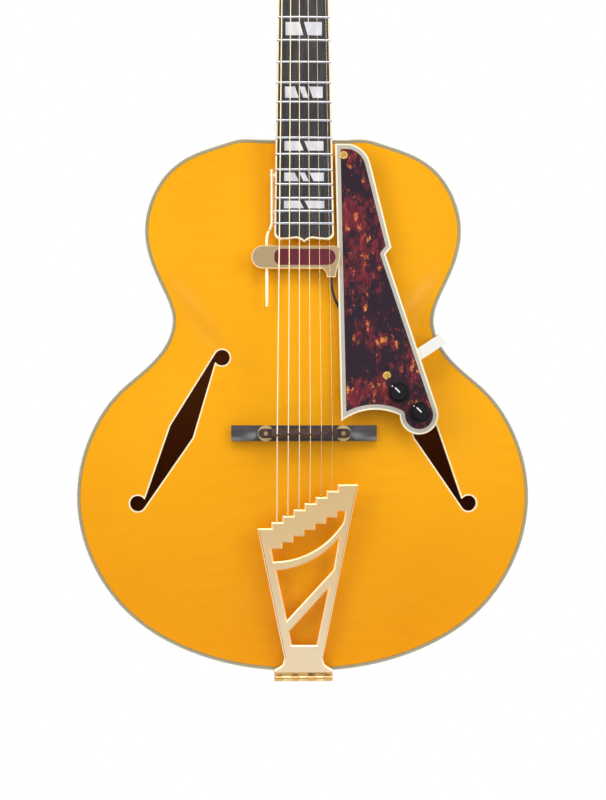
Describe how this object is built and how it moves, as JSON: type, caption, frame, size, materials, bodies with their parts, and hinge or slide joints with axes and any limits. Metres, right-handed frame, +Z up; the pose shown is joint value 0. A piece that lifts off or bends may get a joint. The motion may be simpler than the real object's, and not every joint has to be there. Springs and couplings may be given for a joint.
{
  "type": "archtop guitar",
  "caption": "Hollow archtop guitar with bound f-holes, floating bridge, hinged stair-step tailpiece, floating pickguard with controls and a rod-mounted pickup.",
  "frame": {"origin": "centre of the fretboard surface at the front edge of the nut", "axes": "+X towards the treble side, +Y towards the back, +Z up the neck; the top faces -Y"},
  "size_m": [0.437, 0.1512, 1.0521],
  "materials": {
    "top_maple": "amber lacquer, gloss",
    "back_maple": "amber lacquer, gloss",
    "inner_spruce": "bare, sanded",
    "cream_binding": "polished",
    "ply_purfling": "black and white plies, polished",
    "neck_maple": "amber lacquer, gloss",
    "black_veneer": "black lacquer, gloss",
    "ebony": "oiled, satin",
    "fret_wire": "polished nickel silver",
    "pearl": "pearl inlay, polished",
    "bone": "polished bone",
    "rod_steel": "plain steel",
    "black_plastic": "gloss black",
    "gold": "gold plate, polished",
    "wound_string": "nickel steel",
    "tortoiseshell": "tortoiseshell pattern, gloss",
    "maroon_insert": "satin maroon",
    "coil_block": "taped coil",
    "pot_metal": "plain can",
    "lead_rubber": "satin black"
  },
  "bodies": {
    "guitar": {"top_plate": "top_maple", "back_plate": "back_maple", "rib_bass": "back_maple", "rib_treble": "back_maple", "kerfed_linings": "inner_spruce", "neck_block": "inner_spruce", "tail_block": "inner_spruce", "tone_bars": "inner_spruce", "top_binding": "cream_binding", "top_purfling": "ply_purfling", "back_binding": "cream_binding", "f_hole_bindings": "cream_binding", "neck": "neck_maple", "headstock_veneer": "black_veneer", "fretboard": "ebony", "fretboard_binding": "cream_binding", "frets": "fret_wire", "fret_inlays": "pearl", "nut": "bone", "truss_rod": "rod_steel", "truss_rod_cover": "black_plastic", "tuner_cases": "gold", "headstock_screws": "gold", "string_heads": "wound_string", "bridge_base": "ebony", "bridge_posts": "gold", "tailpiece_hinge_pin": "gold", "tailpiece_bracket": "gold", "pickguard": "tortoiseshell", "pickguard_binding": "ply_purfling", "pickguard_bracket": "gold", "body_screws": "gold", "control_pots": "pot_metal", "pickup_rod": "gold", "pickup_lead": "lead_rubber", "output_jack": "gold"},
    "saddle": {"bridge_saddle": "ebony"},
    "wheel_bass": {"thumbwheel_bass": "gold"},
    "wheel_treble": {"thumbwheel_treble": "gold"},
    "tail": {"tailpiece": "gold", "string_tails": "wound_string"},
    "speaking_strings": {"strings": "wound_string"},
    "pickup": {"pickup_cover": "gold", "pickup_insert": "maroon_insert", "pickup_core": "coil_block"},
    "volume": {"volume_knob": "black_plastic"},
    "tone": {"tone_knob": "black_plastic"},
    "truss_nut": {"truss_rod_nut": "gold"},
    "tuner_low_e": {"tuner_button_low_e": "gold"},
    "post_low_e": {"string_post_low_e": "gold"},
    "tuner_a": {"tuner_button_a": "gold"},
    "post_a": {"string_post_a": "gold"},
    "tuner_d": {"tuner_button_d": "gold"},
    "post_d": {"string_post_d": "gold"},
    "tuner_g": {"tuner_button_g": "gold"},
    "post_g": {"string_post_g": "gold"},
    "tuner_b": {"tuner_button_b": "gold"},
    "post_b": {"string_post_b": "gold"},
    "tuner_high_e": {"tuner_button_high_e": "gold"},
    "post_high_e": {"string_post_high_e": "gold"}
  },
  "joints": [
    {"name": "saddle_lift", "type": "slide", "parent": "guitar", "child": "saddle", "axis": [0, -1, 0], "range_m": [-0.002, 0.003]},
    {"name": "string_swing", "type": "hinge", "parent": "guitar", "child": "speaking_strings", "pos_m": [0, -0.0014, 0.0001], "axis": [1, 0, 0], "range_deg": [-0.4, 0.4]},
    {"name": "tailpiece_hinge", "type": "hinge", "parent": "guitar", "child": "tail", "pos_m": [0, -0.01026, -0.87128], "axis": [1, 0, 0], "range_deg": [-1, 1]},
    {"name": "wheel_bass_turn", "type": "hinge", "parent": "saddle", "child": "wheel_bass", "pos_m": [-0.037, -0.03795, -0.63479], "axis": [0, 1, 0], "range_deg": [-1100, 1600]},
    {"name": "wheel_treble_turn", "type": "hinge", "parent": "saddle", "child": "wheel_treble", "pos_m": [0.037, -0.03795, -0.63479], "axis": [0, 1, 0], "range_deg": [-1100, 1600]},
    {"name": "pickup_slide", "type": "slide", "parent": "guitar", "child": "pickup", "axis": [0, 0.0698, 0.9976], "range_m": [-0.034, 0.002], "deforming": ["pickup_lead"]},
    {"name": "volume_turn", "type": "hinge", "parent": "guitar", "child": "volume", "pos_m": [0.09005, -0.03493, -0.5961], "axis": [0, -0.9985, 0.0541], "range_deg": [-75, 195]},
    {"name": "tone_turn", "type": "hinge", "parent": "guitar", "child": "tone", "pos_m": [0.11065, -0.03596, -0.61503], "axis": [0, -0.9985, 0.0541], "range_deg": [-75, 195]},
    {"name": "truss_nut_turn", "type": "hinge", "parent": "guitar", "child": "truss_nut", "pos_m": [0, 0.01103, 0.00725], "axis": [0, 0.0698, 0.9976], "range_deg": [-180, 180]},
    {"name": "tuner_low_e_turn", "type": "hinge", "parent": "guitar", "child": "tuner_low_e", "pos_m": [-0.03325, 0.03967, 0.04383], "axis": [1, 0, 0], "continuous": true},
    {"name": "post_low_e_turn", "type": "hinge", "parent": "guitar", "child": "post_low_e", "pos_m": [-0.01925, 0.01682, 0.04469], "axis": [0, 0.9511, -0.309], "continuous": true},
    {"name": "tuner_a_turn", "type": "hinge", "parent": "guitar", "child": "tuner_a", "pos_m": [-0.03517, 0.05296, 0.08473], "axis": [1, 0, 0], "continuous": true},
    {"name": "post_a_turn", "type": "hinge", "parent": "guitar", "child": "post_a", "pos_m": [-0.02117, 0.03011, 0.08558], "axis": [0, 0.9511, -0.309], "continuous": true},
    {"name": "tuner_d_turn", "type": "hinge", "parent": "guitar", "child": "tuner_d", "pos_m": [-0.03708, 0.06625, 0.12562], "axis": [1, 0, 0], "continuous": true},
    {"name": "post_d_turn", "type": "hinge", "parent": "guitar", "child": "post_d", "pos_m": [-0.02308, 0.04339, 0.12648], "axis": [0, 0.9511, -0.309], "continuous": true},
    {"name": "tuner_g_turn", "type": "hinge", "parent": "guitar", "child": "tuner_g", "pos_m": [0.03708, 0.06625, 0.12562], "axis": [1, 0, 0], "continuous": true},
    {"name": "post_g_turn", "type": "hinge", "parent": "guitar", "child": "post_g", "pos_m": [0.02308, 0.04339, 0.12648], "axis": [0, 0.9511, -0.309], "continuous": true},
    {"name": "tuner_b_turn", "type": "hinge", "parent": "guitar", "child": "tuner_b", "pos_m": [0.03517, 0.05296, 0.08473], "axis": [1, 0, 0], "continuous": true},
    {"name": "post_b_turn", "type": "hinge", "parent": "guitar", "child": "post_b", "pos_m": [0.02117, 0.03011, 0.08558], "axis": [0, 0.9511, -0.309], "continuous": true},
    {"name": "tuner_high_e_turn", "type": "hinge", "parent": "guitar", "child": "tuner_high_e", "pos_m": [0.03325, 0.03967, 0.04383], "axis": [1, 0, 0], "continuous": true},
    {"name": "post_high_e_turn", "type": "hinge", "parent": "guitar", "child": "post_high_e", "pos_m": [0.01925, 0.01682, 0.04469], "axis": [0, 0.9511, -0.309], "continuous": true}
  ],
  "couplings": [
    {"joint": "string_swing", "follows": "saddle_lift", "rad_per_m": -1.5764},
    {"joint": "tailpiece_hinge", "follows": "saddle_lift", "rad_per_m": 4.2191},
    {"joint": "wheel_bass_turn", "follows": "saddle_lift", "rad_per_m": 8976},
    {"joint": "wheel_treble_turn", "follows": "saddle_lift", "rad_per_m": 8976},
    {"joint": "post_low_e_turn", "follows": "tuner_low_e_turn", "ratio": 0.055556},
    {"joint": "post_a_turn", "follows": "tuner_a_turn", "ratio": 0.055556},
    {"joint": "post_d_turn", "follows": "tuner_d_turn", "ratio": 0.055556},
    {"joint": "post_g_turn", "follows": "tuner_g_turn", "ratio": -0.055556},
    {"joint": "post_b_turn", "follows": "tuner_b_turn", "ratio": -0.055556},
    {"joint": "post_high_e_turn", "follows": "tuner_high_e_turn", "ratio": -0.055556}
  ]
}
